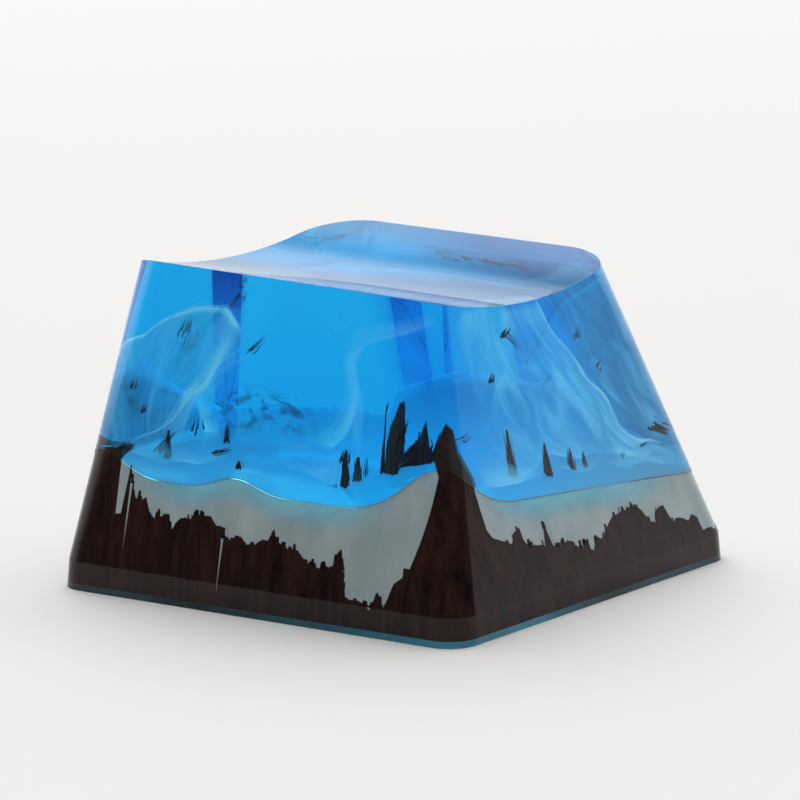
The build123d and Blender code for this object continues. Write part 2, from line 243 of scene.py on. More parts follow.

# Dust of the wood in soft dark sheets, in the same way; the last two, under the top face, also paint shade
DUST_AND_SHADE_VEILS = [
    ([[(212, 388, 5.6), (240, 378, 5.8), (280, 386, 5.9), (322, 406, 5.8)],
      [(210, 428, 5.6), (250, 440, 5.8), (290, 446, 5.9), (330, 436, 5.8)]],
     0.45, ((0.3, 0), (0.3, 0), (0.4, 0), (0.4, 0))),
    ([[(236, 272, 1.6), (234, 290, 1.6), (228, 308, 1.7)],
      [(248, 273, 1.6), (244, 292, 1.6), (241, 309, 1.7)]],
     0.8, ((0.05, 0), (0.4, 0), (0.3, 0), (0.3, 0))),
    ([[(182, 312, 3.4), (178, 340, 3.3), (168, 372, 3.0)],
      [(208, 314, 3.4), (200, 342, 3.3), (188, 374, 3.0)]],
     0.5, ((0.3, 0), (0.4, 0), (0.4, 0), (0.4, 0))),
    ([[(122, 380, 2.0), (128, 400, 1.9), (138, 424, 1.8)],
      [(140, 376, 2.0), (146, 398, 1.9), (154, 420, 1.8)]],
     0.5, ((0.3, 0), (0.4, 0), (0.4, 0), (0.4, 0))),
    # Under the top face: brownish smears that are also painted shade, dimming the blue seen through the top
    ([[(274, 246, 0.4, "top"), (306, 240, 0.4, "top"), (344, 242, 0.4, "top"), (382, 236, 0.4, "top")],
      [(284, 254, 0.4, "top"), (314, 249, 0.4, "top"), (348, 248, 0.4, "top"), (380, 243, 0.4, "top")]],
     0.4, ((0.4, 0), (0.4, 0), (0.5, 0), (0.5, 0))),
    ([[(420, 254, 0.4, "top"), (450, 257, 0.4, "top"), (490, 264, 0.4, "top"), (560, 276, 0.4, "top")],
      [(420, 262, 0.4, "top"), (450, 266, 0.4, "top"), (490, 272, 0.4, "top"), (560, 282, 0.4, "top")]],
     0.5, ((0.3, 0), (0.3, 0), (0.4, 0), (0.4, 0))),
]

# Splinters that stand clear of the pour: shares of the half width and half depth, shank, tip height
SPLINTERS = [
    (-0.620, -0.500, 0.62, 7.6),
    (-0.535, -0.510, 0.50, 6.7),
    (-0.795, -0.355, 0.34, 6.1),
    (-0.740, -0.390, 0.42, 5.8),
    (-0.330, -0.745, 0.36, 6.5),
    (-0.110, -0.775, 0.44, 5.7),
    (0.065, -0.770, 0.36, 5.3),
    (0.155, -0.770, 0.30, 5.0),
    (-0.845, 0.145, 0.34, 5.3),
    (-0.750, 0.550, 0.34, 5.9),
]
SPLINTER_SLIVERS = 14
SLIVER_SEED = 11
SLIVER_STEPS = 6
SLIVER_JITTER = 0.02
SLIVER_TIP = 0.1
SLIVER_ASIDE = 0.55
SLIVER_HEIGHTS = (0.45, 1.02)
SLIVER_GATHER = (0.3, 0.9)
SLIVER_RADII = (0.08, 0.17)

# Loose chips of wood: photo pixels of both ends, depth behind the face, spread in pixels, slivers, radius
CHIP_SEED = 12
CHIP_DEPTH = 0.15
CHIP_GATHER = 0.6
CHIP_RADII = (0.5, 1.1)
CHIPS = [
    ((123, 448), (123, 442), 1.2, 3, 6, 0.05),
    ((131, 388), (134, 380), 1.6, 4, 6, 0.04),
    ((142, 412), (145, 404), 1.6, 3, 5, 0.04),
    ((158, 452), (173, 432), 1.6, 4, 9, 0.04),
    ((186, 336), (190, 320), 3.6, 12, 10, 0.03),
    ((198, 432), (199, 420), 2.4, 8, 8, 0.04),
    ((213, 452), (232, 448), 1.8, 5, 8, 0.025),
    ((227, 442), (228, 424), 1.8, 4, 9, 0.04),
    ((238, 479), (239, 463), 0.7, 4, 9, 0.04),
    ((250, 352), (264, 338), 3.4, 6, 8, 0.02),
    ((267, 473), (268, 468), 1.2, 3, 6, 0.05),
    ((332, 492), (333, 486), 0.9, 5, 6, 0.04),
    ((344, 462), (347, 450), 1.4, 7, 10, 0.05),
    ((345, 491), (346, 486), 1.0, 3, 4, 0.03),
    ((366, 476), (367, 458), 1.8, 6, 6, 0.03),
    ((503, 336), (508, 329), 1.6, 6, 8, 0.05),
    ((508, 336), (519, 350), 1.8, 4, 6, 0.025),
    ((490, 383), (492, 375), 1.6, 4, 8, 0.05),
    ((545, 384), (551, 372), 2.6, 6, 6, 0.02),
    ((575, 338), (578, 328), 2.2, 5, 6, 0.03),
    ((598, 368), (602, 360), 2.4, 6, 6, 0.03),
    ((612, 481), (613, 475), 0.7, 3, 5, 0.04),
    ((622, 457), (624, 452), 1.0, 4, 5, 0.03),
    ((640, 446), (648, 442), 1.0, 4, 5, 0.03),
    ((655, 426), (668, 432), 0.8, 5, 12, 0.06),
    ((460, 440), (470, 434), 1.6, 5, 6, 0.025),
]

# Fibres on the wood's break lines, which are shares of the half length and heights
FIBRES = 110
FIBRE_SEED = 13
FIBRE_SPAN = 0.7
FIBRE_HALVES = (0.04, 0.15)
FIBRE_LEAN = 0.4
FIBRE_TAPER = 0.6
FIBRE_ROOT = 0.2
FIBRE_RISE = 0.08
FIBRE_TALLEST = 3 * FIBRE_RISE
FIBRE_OUTER = 0.002
FIBRE_INNER = 0.01
LEFT_BREAK = [
    (-1.00, 0.90), (-0.76, 0.90), (-0.72, 0.50), (-0.66, 0.50), (-0.63, 1.35), (-0.61, 1.62),
    (-0.58, 0.95), (-0.46, 1.30), (-0.43, 2.50), (-0.415, 2.85), (-0.38, 2.20), (-0.24, 2.30),
    (-0.21, 2.62), (-0.10, 2.85), (-0.085, 3.23), (-0.06, 2.80), (0.02, 2.50), (0.10, 2.76),
    (0.13, 2.60), (0.20, 3.05), (0.26, 3.35), (0.37, 3.15), (0.42, 2.70), (0.46, 3.10),
    (0.54, 3.12), (0.57, 3.68), (0.63, 3.64), (0.665, 4.75), (0.69, 2.95), (0.74, 3.15),
    (0.76, 5.25), (1.00, 5.20),
]
FRONT_BREAK = [
    (-1.00, 2.60), (-0.65, 2.88), (-0.52, 2.90), (-0.465, 3.34), (-0.41, 2.60), (-0.31, 2.52),
    (-0.285, 3.30), (-0.26, 2.45), (-0.15, 2.45), (-0.12, 2.12), (-0.04, 2.20), (0.01, 1.83),
    (0.04, 2.33), (0.10, 2.25), (0.15, 2.58), (0.24, 2.75), (0.32, 2.88), (0.40, 2.68),
    (0.47, 2.03), (0.50, 2.48), (0.56, 2.62), (0.61, 1.95), (0.68, 1.95), (0.78, 1.85),
    (0.80, 1.32), (1.00, 1.20),
]

# Blue stain that has seeped into the pour along the walls
STAIN_SPAN = 6.4
STAIN_FALL = 1.0
STAIN_STEPS = 90
STAIN_ROWS = 6
STAIN_INSET = 0.006
STAIN_THICKNESS = 0.004
STAIN_COVER = 0.5
STAIN_FADE = 0.6

# Blue cap and milky pour: how far they stand off the wood's faces and each other, and how fine they are
CAP_PROUD = 0.012
CAP_SINK = 0.03
POUR_RECESS = 0.012
CORNER_SEGMENTS = 24
DISH_SEGMENTS = 240
POUR_STEPS = 90
POUR_SPARE = 2.0

# Finishes: the dark and the light colour of each material, and how fine its clouds or grain are
RESIN_TINT = (0.015, 0.82, 0.964, 1)
RESIN_DENSITY = 335
POLISH = ((0.004, 0.004, 0.004, 1), (0.02, 0.02, 0.02, 1))
POLISH_CLOUDS = (350, 350, 350)
WOOD_COLOURS = ((0.004, 0.001, 0.001, 1), (0.034, 0.011, 0.008, 1))
WOOD_GRAIN = (2600, 2600, 160)
MILK_COLOURS = ((0.28, 0.38, 0.4, 1), (0.42, 0.5, 0.515, 1))
MILK_CLOUDS = (900, 900, 250)
# Liner: the lit colours near the near corner and the shaded colours away from it are painted light and
# painted shade
LIT_LINER = ((0.008, 0.09, 0.14, 1), (0.03, 0.26, 0.38, 1))
SHADED_LINER = ((0.004, 0.008, 0.01, 1), (0.012, 0.05, 0.065, 1))
LINER_CLOUDS = (300, 300, 300)
LIT_CORNER = (-HALF_WIDTH * MM, -HALF_DEPTH * MM, 0)
LIT_REACH = (4 * MM, 9 * MM)
# The wisps' colours are given out as a painted glow
WISP_GLOW_COLOURS = ((0.12, 0.4, 0.58, 1), (0.42, 0.68, 0.8, 1))
WISP_CLOUDS = (700, 700, 700)
WISP_PAINTED_GLOW = 0.8
# The smoke's colours and its crest colour are given out as a painted glow
DIM_SMOKE_GLOW = ((0.015, 0.16, 0.31, 1), (0.08, 0.36, 0.58, 1))
PALE_SMOKE_GLOW = ((0.04, 0.32, 0.62, 1), (0.14, 0.5, 0.76, 1))
CREST_GLOW_COLOUR = (0.36, 0.66, 0.8, 1)
SMOKE_STREAKS = (0.35, 1.1, 1)
SMOKE_BODY = (0.4, 1.3)
GATHERED_MOST = 1.5
DUST_COLOURS = ((0.004, 0.02, 0.04, 1), (0.03, 0.025, 0.025, 1))
DUST_CLOUDS = (900, 900, 900)
DUST_SPECKS = (1.8, 2.6, 1)
STAIN_COLOURS = ((0.2, 0.62, 0.8, 1), (0.3, 0.72, 0.86, 1))
STAIN_CLOUDS = (500, 500, 500)
STAIN_PAINTED_GLOW = 0.08

# Top of the pour: colours from the near side to the far side, whose lightness is painted light, painted
# glow, and the slopes that count as top
POUR_AWAY = (0.8, 0.58, 0)
POUR_NEAR = (0.009, 0.4, 0.8, 1)
POUR_BETWEEN = [(0.45, (0.06, 0.3, 0.5, 1)), (0.8, (0.05, 0.24, 0.4, 1))]
POUR_FAR_LIT = (0.35, 0.72, 0.88, 1)
POUR_PAINTED_GLOW = 0.5
POUR_FACING = (0.35, 0.75)


def deselect_all():
    """Leave edit mode with nothing selected."""
    if bpy.context.object and bpy.context.object.mode != "OBJECT":
        bpy.ops.object.mode_set(mode="OBJECT")
    bpy.ops.object.select_all(action="DESELECT")


def make_active(piece):
    """Select one piece and make it the active one."""
    deselect_all()
    piece.select_set(True)
    bpy.context.view_layer.objects.active = piece


def apply_modifier(piece, name):
    make_active(piece)
    bpy.ops.object.modifier_apply(modifier=name)


def bring_to_metres(piece):
    """Scale a form modelled in millimetres, with its place in its mesh."""
    make_active(piece)
    bpy.ops.object.transform_apply(location=True, rotation=True, scale=True)
    piece.data.transform(Matrix.Scale(MM, 4))
    piece.data.update()


def finish_editing():
    """Turn all the normals outward and leave edit mode."""
    bpy.ops.mesh.select_all(action="SELECT")
    bpy.ops.mesh.normals_make_consistent(inside=False)
    bpy.ops.object.mode_set(mode="OBJECT")


def new_strands(name):
    """Empty bundle of strands that are as thick as the radius at each of their points."""
    data = bpy.data.curves.new(name, "CURVE")
    data.dimensions = "3D"
    data.bevel_depth = 1
    data.bevel_resolution = 0
    data.use_fill_caps = True
    return data


def strands_to_mesh(data):
    """Turn a bundle of strands into one piece with the bundle's name, in metres."""
    bundle = bpy.data.objects.new(data.name, data)
    bpy.context.scene.collection.objects.link(bundle)
    make_active(bundle)
    bpy.ops.object.convert(target="MESH")
    bundle = bpy.context.object
    bring_to_metres(bundle)
    return bundle


def cut(piece, tool, operation="DIFFERENCE"):
    """Cut a piece with a tool solid, which is then removed."""
    boolean = piece.modifiers.new("cut", "BOOLEAN")
    boolean.operation = operation
    boolean.solver = "EXACT"
    boolean.object = tool
    apply_modifier(piece, "cut")
    bpy.data.objects.remove(tool)


def new_material(name):
    material = bpy.data.materials.new(name)
    material.use_nodes = True
    nodes = material.node_tree.nodes
    return material, nodes, material.node_tree.links, nodes["Principled BSDF"]


def map_range(nodes, from_range, to_range=(0, 1)):
    """Node that turns one range of values into another."""
    node = nodes.new("ShaderNodeMapRange")
    node.inputs["From Min"].default_value, node.inputs["From Max"].default_value = from_range
    node.inputs["To Min"].default_value, node.inputs["To Max"].default_value = to_range
    return node


# Camera

def place_camera():
    right = Vector((0, 0, 1)).cross(CAMERA_BACK).normalized()
    up = CAMERA_BACK.cross(right)
    turned_right = math.cos(CAMERA_ROLL) * right + math.sin(CAMERA_ROLL) * up
    turned_up = -math.sin(CAMERA_ROLL) * right + math.cos(CAMERA_ROLL) * up
    place = CAMERA_BACK * CAMERA_DISTANCE + turned_right * CAMERA_ASIDE + turned_up * CAMERA_RAISE
    data = bpy.data.cameras.new("camera")
    data.lens = CAMERA_LENS
    data.sensor_width = CAMERA_SENSOR
    data.clip_start, data.clip_end = CAMERA_CLIP
    camera = bpy.data.objects.new("camera", data)
    bpy.context.scene.collection.objects.link(camera)
    turn = Matrix((turned_right, turned_up, CAMERA_BACK)).transposed().to_4x4()
    camera.matrix_world = Matrix.Translation(place * MM) @ turn
    bpy.context.scene.camera = camera
    return place, turned_right, turned_up


# Stage

def studio_world():
    world = bpy.data.worlds.new("studio")
    bpy.context.scene.world = world
    world.use_nodes = True
    nodes = world.node_tree.nodes
    links = world.node_tree.links
    place = nodes.new("ShaderNodeTexCoord")
    low = nodes.new("ShaderNodeMix")
    high = nodes.new("ShaderNodeMix")
    low.data_type = "RGBA"
    high.data_type = "RGBA"
    low.inputs["A"].default_value = ROOM_LIGHT
    bands = (
        (low, SWEEP_UP, SWEEP_FALL, SWEEP_LIGHT),
        (high, CEILING_UP, CEILING_RISE, CEILING_LIGHT),
    )
    for blend, upward, span, colour in bands:
        height = nodes.new("ShaderNodeVectorMath")
        height.operation = "DOT_PRODUCT"
        height.inputs[1].default_value = upward
        fade = map_range(nodes, span)
        fade.interpolation_type = "SMOOTHSTEP"
        blend.inputs["B"].default_value = colour
        links.new(place.outputs["Generated"], height.inputs[0])
        links.new(height.outputs["Value"], fade.inputs["Value"])
        links.new(fade.outputs["Result"], blend.inputs["Factor"])
    links.new(low.outputs["Result"], high.inputs["A"])
    links.new(high.outputs["Result"], nodes["Background"].inputs["Color"])


def soft_box(name, place, size, power):
    """Large square lamp that looks at the keycap."""
    data = bpy.data.lights.new(name, "AREA")
    data.size = size
    data.energy = power
    lamp = bpy.data.objects.new(name, data)
    bpy.context.scene.collection.objects.link(lamp)
    lamp.location = place
    lamp.rotation_euler = (Vector(LAMP_AIM) - Vector(place)).to_track_quat("-Z", "Y").to_euler()
    lamp.visible_camera = False
    lamp.visible_glossy = False


def studio_floor():
    deselect_all()
    bpy.ops.mesh.primitive_plane_add(size=FLOOR_SIZE, location=(0, 0, 0))
    floor = bpy.context.object
    floor.name = "studio_floor"
    material, nodes, links, shader = new_material("pale_floor")
    shader.inputs["Base Color"].default_value = FLOOR_COLOUR
    shader.inputs["Roughness"].default_value = 0.9
    shader.inputs["Specular IOR Level"].default_value = 0.1
    ray = nodes.new("ShaderNodeLightPath")
    glow = nodes.new("ShaderNodeEmission")
    blend = nodes.new("ShaderNodeMixShader")
    links.new(ray.outputs["Is Transmission Ray"], blend.inputs["Fac"])
    links.new(shader.outputs["BSDF"], blend.inputs[1])
    links.new(glow.outputs["Emission"], blend.inputs[2])
    links.new(blend.outputs["Shader"], nodes["Material Output"].inputs["Surface"])
    floor.data.materials.append(material)


# Blue cap and milky pour

def pour_height(x, y):
    """Height of the milky pour's upper surface."""
    across = max(0, 1 - (x / (HALF_WIDTH - POUR_MARGIN)) ** 4)
    along = max(0, 1 - (y / (HALF_DEPTH - POUR_MARGIN)) ** 4)
    height = POUR_LEVEL - POUR_FALL * x + POUR_RISE * across * along
    for x_share, y_share, rise, spread in MENISCI:
        distance = math.hypot(x - x_share * HALF_WIDTH, y - y_share * HALF_DEPTH)
        height += rise * math.exp(-((distance / spread) ** 2))
    return height


def add_outline(height, proud):
    """Rounded outline of the walls at a height, in the mesh that is being edited."""
    share = max(0, height - SKIRT_HEIGHT) / LEAN_HEIGHT
    draft = SKIRT_DRAFT * min(1, height / SKIRT_HEIGHT)
    width = 2 * (HALF_WIDTH - draft - SIDE_LEAN * share + proud)
    depth = 2 * (HALF_DEPTH - draft + proud) - (FRONT_LEAN + BACK_LEAN) * share
    radius = BASE_CORNER + (TOP_CORNER - BASE_CORNER) * share
    middle = (0, DISH_MIDDLE * share, height)
    bpy.ops.mesh.primitive_plane_add(size=1, location=middle)
    bpy.ops.transform.resize(value=(width, depth, 1), center_override=middle)
    bpy.ops.mesh.bevel(offset=radius, segments=CORNER_SEGMENTS, affect="VERTICES")


def leaning_block(proud, foot):
    """Walls from a foot height, through the skirt's top, to above the dish."""
    deselect_all()
    bpy.ops.mesh.primitive_plane_add(size=1)
    block = bpy.context.object
    bpy.ops.object.mode_set(mode="EDIT")
    bpy.ops.mesh.delete(type="VERT")
    for height in (foot, SKIRT_HEIGHT, RIDGE_BACK + DISH_DEPTH):
        add_outline(height, proud)
    bpy.ops.mesh.select_all(action="SELECT")
    bpy.ops.mesh.delete(type="ONLY_FACE")
    bpy.ops.mesh.select_all(action="SELECT")
    bpy.ops.mesh.bridge_edge_loops()
    bpy.ops.mesh.select_all(action="SELECT")
    bpy.ops.mesh.fill_holes(sides=0)
    finish_editing()
    return block


def dish_tool():
    """Long cylinder whose underside is the dish of the key top."""
    middle = (0, DISH_MIDDLE, DISH_FLOOR - DISH_SINK + DISH_RADIUS)
    deselect_all()
    bpy.ops.mesh.primitive_cylinder_add(
        vertices=DISH_SEGMENTS,
        radius=DISH_RADIUS,
        depth=4 * HALF_DEPTH,
        location=middle,
        rotation=(math.pi / 2 + DISH_RISE, 0, 0),
    )
    return bpy.context.object


def under_pour(sink):
    """Everything under the pour's surface, or a little lower."""
    deselect_all()
    bpy.ops.mesh.primitive_grid_add(
        x_subdivisions=POUR_STEPS, y_subdivisions=POUR_STEPS, size=2 * HALF_WIDTH + POUR_SPARE
    )
    pour = bpy.context.object
    for point in pour.data.vertices:
        point.co.z = pour_height(point.co.x, point.co.y) - sink
    bpy.ops.object.mode_set(mode="EDIT")
    bpy.ops.mesh.select_all(action="SELECT")
    bpy.ops.mesh.extrude_region_move(TRANSFORM_OT_translate={"value": (0, 0, -2 * POUR_LEVEL)})
    finish_editing()
    return pour


def hollow_tool():
    """Hollow of the keycap with its lining, reaching into the wood that covers it."""
    grow = LINING + WOOD_COVER / 2
    mouth = HALF_WIDTH - WALL + grow
    shoulder = mouth - HOLLOW_DRAFT
    deselect_all()
    bpy.ops.mesh.primitive_plane_add(size=2 * mouth, location=(0, 0, -SKIRT_HEIGHT))
    hollow = bpy.context.object
    bpy.ops.object.mode_set(mode="EDIT")
    bpy.ops.mesh.select_all(action="SELECT")
    rises = (
        (SKIRT_HEIGHT, mouth, mouth),
        (SHOULDER_HEIGHT + grow / 2, mouth, shoulder),
        (HOLLOW_DEPTH - SHOULDER_HEIGHT + grow / 2, shoulder, shoulder - SHOULDER_RUN),
    )
    for rise, lower, upper in rises:
        bpy.ops.mesh.extrude_region_move(TRANSFORM_OT_translate={"value": (0, 0, rise)})
        bpy.ops.transform.resize(value=(upper / lower, upper / lower, 1), center_override=(0, 0, 0))
    finish_editing()
    return hollow


def milky_layer():
    """The pour, a hair behind the wood's faces and solid where the wood hides it."""
    layer = leaning_block(-POUR_RECESS, CLEAR_EDGE)
    layer.name = "milky_layer"
    cut(layer, under_pour(0), "INTERSECT")
    cut(layer, hollow_tool())
    make_active(layer)
    bpy.ops.object.shade_smooth_by_angle(angle=SMOOTH_ANGLE)
    bring_to_metres(layer)
    return layer


def blue_cap():
    cap = leaning_block(CAP_PROUD, CLEAR_EDGE)
    cap.name = "blue_cap"
    cut(cap, dish_tool())
    rim = cap.modifiers.new("rim", "BEVEL")
    rim.width = RIM_ROUND
    rim.segments = RIM_SEGMENTS
    rim.limit_method = "ANGLE"
    rim.angle_limit = SMOOTH_ANGLE
    apply_modifier(cap, "rim")
    cut(cap, under_pour(CAP_SINK))
    make_active(cap)
    bpy.ops.object.shade_smooth_by_angle(angle=SMOOTH_ANGLE)
    smooth = cap.modifiers.new("smooth", "WEIGHTED_NORMAL")
    smooth.keep_sharp = True
    apply_modifier(cap, "smooth")
    bring_to_metres(cap)
    return cap


# Wisps

def resin_point(across, down, depth, side=None):
    """Place in the resin that the camera sees at a photo pixel, at a depth behind the face."""
    scale = IMAGE_SIZE * CAMERA_LENS / CAMERA_SENSOR
    half = IMAGE_SIZE / 2
    ray = camera_right * ((across - half) / scale) + camera_up * ((half - down) / scale) - CAMERA_BACK
    ray.normalize()
    if side == "top":
        face = Vector((0, -math.sin(DISH_RISE), math.cos(DISH_RISE)))
        on_face = Vector((0, DISH_MIDDLE, DISH_FLOOR))
    elif across < NEAR_CORNER_PIXEL:
        face = Vector((-1, 0, SIDE_LEAN / LEAN_HEIGHT)).normalized()
        on_face = Vector((SKIRT_DRAFT - HALF_WIDTH, 0, SKIRT_HEIGHT))
    else:
        face = Vector((0, -1, FRONT_LEAN / LEAN_HEIGHT)).normalized()
        on_face = Vector((0, SKIRT_DRAFT - HALF_DEPTH, SKIRT_HEIGHT))
    entry = camera_place + ray * ((on_face - camera_place).dot(face) / ray.dot(face))
    cosine = -ray.dot(face)
    bent = math.sqrt(1 - (1 - cosine**2) / RESIN_IOR**2)
    inward = ray / RESIN_IOR + face * (cosine / RESIN_IOR - bent)
    return entry + inward * depth


def along_line(points, share):
    """Point at a share of a smooth line through a list of points."""
    spans = len(points) - 1
    place = min(max(share, 0), 1) * spans
    span = min(int(place), spans - 1)
    part = place - span
    before, start, end, after = (points[min(max(span + step, 0), spans)] for step in (-1, 0, 1, 2))
    return 0.5 * (
        2 * start
        + (end - before) * part
        + (2 * before - 5 * start + 4 * end - after) * part**2
        + (3 * start - before - 3 * end + after) * part**3
    )


def swirl(place):
    """Slow drift that all the smoke near a place shares."""
    return noise.noise_vector(place * SWIRL_SIZE) * SWIRL_REACH


def keep_inside(place):
    """Bring a place that is outside the cap, or too near its walls or top, back into it."""
    share = (place.z - SKIRT_HEIGHT) / LEAN_HEIGHT
    radius = BASE_CORNER + (TOP_CORNER - BASE_CORNER) * share
    side = HALF_WIDTH - SKIRT_DRAFT - SIDE_LEAN * share - WALL_MARGIN - radius
    front = SKIRT_DRAFT - HALF_DEPTH + FRONT_LEAN * share + WALL_MARGIN + radius
    back = HALF_DEPTH - SKIRT_DRAFT - BACK_LEAN * share - WALL_MARGIN - radius
    middle = Vector((min(max(place.x, -side), side), min(max(place.y, front), back), 0))
    aside = Vector((place.x, place.y, 0)) - middle
    if aside.length > radius:
        aside *= radius / aside.length
    kept = middle + aside
    dish = DISH_FLOOR + (kept.y - DISH_MIDDLE) * math.tan(DISH_RISE)
    dish += DISH_RADIUS - math.sqrt(DISH_RADIUS**2 - kept.x**2)
    kept.z = min(place.z, dish - WALL_MARGIN)
    return kept


def smooth_rise(share):
    """Soft step from nothing to one."""
    share = min(max(share, 0), 1)
    return share * share * (3 - 2 * share)


def line_length(points):
    return sum((end - start).length for start, end in zip(points, points[1:]))


def join_pieces(name, pieces):
    """Join some forms into one smooth piece and bring it to metres."""
    make_active(pieces[0])
    for piece in pieces:
        piece.select_set(True)
    bpy.ops.object.join()
    joined = bpy.context.object
    joined.name = name
    bpy.ops.object.shade_smooth_by_angle(angle=SMOOTH_ANGLE)
    bring_to_metres(joined)
    return joined


def smoke_sheet(lines, cover, edges, start):
    """Thin sheet between some lines, with its cover and crests in attributes of the mesh."""
    deselect_all()
    bpy.ops.mesh.primitive_grid_add(x_subdivisions=VEIL_STEPS, y_subdivisions=VEIL_STEPS, size=2)
    sheet = bpy.context.object
    covers = sheet.data.attributes.new("cover", "FLOAT", "POINT")
    crests = sheet.data.attributes.new("crest", "FLOAT", "POINT")
    for point in sheet.data.vertices:
        along = (point.co.x + 1) / 2
        aside = (point.co.y + 1) / 2
        place = along_line([along_line(line, along) for line in lines], aside)
        point.co = keep_inside(place + swirl(place))
        thickness = cover
        shine = 0
        for distance, (fade, crest) in zip((along, 1 - along, aside, 1 - aside), edges):
            thickness *= smooth_rise(distance / fade)
            shine += crest * math.exp(-(((distance - fade) / fade) ** 2))
        covers.data[point.index].value = thickness
        crests.data[point.index].value = shine
    length = line_length(lines[0])
    width = line_length([along_line(line, 0.5) for line in lines])
    for corner in sheet.data.uv_layers.active.data:
        corner.uv = (corner.uv[0] * length, corner.uv[1] * width + start)
    body = sheet.modifiers.new("body", "SOLIDIFY")
    body.thickness = VEIL_THICKNESS
    apply_modifier(sheet, "body")
    return sheet


def wisp_veils(name, veils):
    """Smoky sheets between guide lines that follow the photo."""
    sheets = []
    for guides, cover, edges in veils:
        lines = [[resin_point(*point) for point in guide] for guide in guides]
        sheets.append(smoke_sheet(lines, cover, edges, VEIL_SPACING * len(sheets)))
    return join_pieces(name, sheets)


def wisp_threads(name, veils, seed):
    """Fine threads that drift between the guide lines of some veils."""
    chance = random.Random(seed)
    data = new_strands(name)
    for guides, count, radius, drift in veils:
        lines = [[resin_point(*point) for point in guide] for guide in guides]
        strands = [chance.random() for strand in range(STRANDS)]
        for thread in range(count):
            gathered = chance.choice(strands) + chance.gauss(0, STRAND_SPREAD)
            aside = chance.choice((chance.random(), chance.random(), min(max(gathered, 0), 1)))
            start = chance.uniform(*THREAD_STARTS)
            end = chance.uniform(*THREAD_ENDS)
            weight = radius * chance.uniform(*THREAD_WEIGHTS)
            shift = Vector([chance.uniform(-1, 1) for axis in range(3)]) * drift
            phase = Vector([chance.uniform(0, SWAY_PLACES) for axis in range(3)])
            spline = data.splines.new("POLY")
            spline.points.add(THREAD_STEPS)
            for step, point in enumerate(spline.points):
                share = start + (end - start) * step / THREAD_STEPS
                place = along_line([along_line(line, share) for line in lines], aside)
                sway = noise.noise_vector(place + phase) * drift
                place = keep_inside(place + shift + swirl(place) + sway)
                point.co = (*place, 1)
                middle = THREAD_TIP + (1 - 2 * THREAD_TIP) * step / THREAD_STEPS
                point.radius = weight * math.sin(math.pi * middle) ** THREAD_TAPER
    return strands_to_mesh(data)


# Splinters and chips

def sliver_bundle(name, slivers, seed):
    """Thin tapering slivers, each from a foot to a tip with a foot radius."""
    chance = random.Random(seed)
    data = new_strands(name)
    for foot, tip, radius in slivers:
        spline = data.splines.new("POLY")
        spline.points.add(SLIVER_STEPS)
        for step, point in enumerate(spline.points):
            share = step / SLIVER_STEPS
            jitter = Vector([chance.uniform(-1, 1) for axis in range(3)]) * SLIVER_JITTER
            point.co = (*keep_inside(foot.lerp(tip, share) + jitter), 1)
            point.radius = radius * (1 + SLIVER_TIP - share)
    return strands_to_mesh(data)


def splinter_slivers(seed):
    """Ragged fibres round each standing splinter."""
    chance = random.Random(seed)
    slivers = []
    for x_share, y_share, width, tip_height in SPLINTERS:
        middle = Vector((x_share * HALF_WIDTH, y_share * HALF_DEPTH, 0))
        foot_height = pour_height(middle.x, middle.y) - width
        for sliver in range(SPLINTER_SLIVERS):
            aside = Vector((chance.uniform(-1, 1), chance.uniform(-1, 1), 0)) * width * SLIVER_ASIDE
            height = foot_height + (tip_height - foot_height) * chance.uniform(*SLIVER_HEIGHTS)
            foot = middle + aside + Vector((0, 0, foot_height))
            tip = middle + aside * chance.uniform(*SLIVER_GATHER) + Vector((0, 0, height))
            slivers.append((foot, tip, width * chance.uniform(*SLIVER_RADII)))
    return sliver_bundle("standing_slivers", slivers, seed)


def loose_chips(seed):
    """Short bundles of slivers at the places where the photo shows dark chips."""
    chance = random.Random(seed)
    slivers = []
    for foot_pixel, tip_pixel, depth, spread, count, radius in CHIPS:
        for sliver in range(count):
            aside = chance.gauss(0, spread / 2)
            down = chance.gauss(0, spread / 3)
            inward = depth + chance.uniform(-CHIP_DEPTH, CHIP_DEPTH)
            foot = resin_point(foot_pixel[0] + aside, foot_pixel[1] + down, inward)
            tip = resin_point(tip_pixel[0] + aside * CHIP_GATHER, tip_pixel[1] + down, inward)
            slivers.append((foot, tip, radius * chance.uniform(*CHIP_RADII)))
    return sliver_bundle("loose_chips", slivers, seed)


# Wood fibres and blue stain on the walls

def wall_point(wall, along, height, inset):
    """Place a little behind one of the walls, at a height above the skirt."""
    share = (height - SKIRT_HEIGHT) / LEAN_HEIGHT
    side = HALF_WIDTH - SKIRT_DRAFT - SIDE_LEAN * share - inset
    if wall == "left":
        return Vector((-side, along, height))
    if wall == "right":
        return Vector((side, along, height))
    if wall == "front":
        return Vector((along, SKIRT_DRAFT - HALF_DEPTH + FRONT_LEAN * share + inset, height))
    return Vector((along, HALF_DEPTH - SKIRT_DRAFT - BACK_LEAN * share - inset, height))


def break_height(break_line, share):
    """Height of a break line at a share of its half length."""
    for (start, start_height), (end, end_height) in zip(break_line, break_line[1:]):
        if share <= end:
            return start_height + (end_height - start_height) * (share - start) / (end - start)
    return break_line[-1][1]


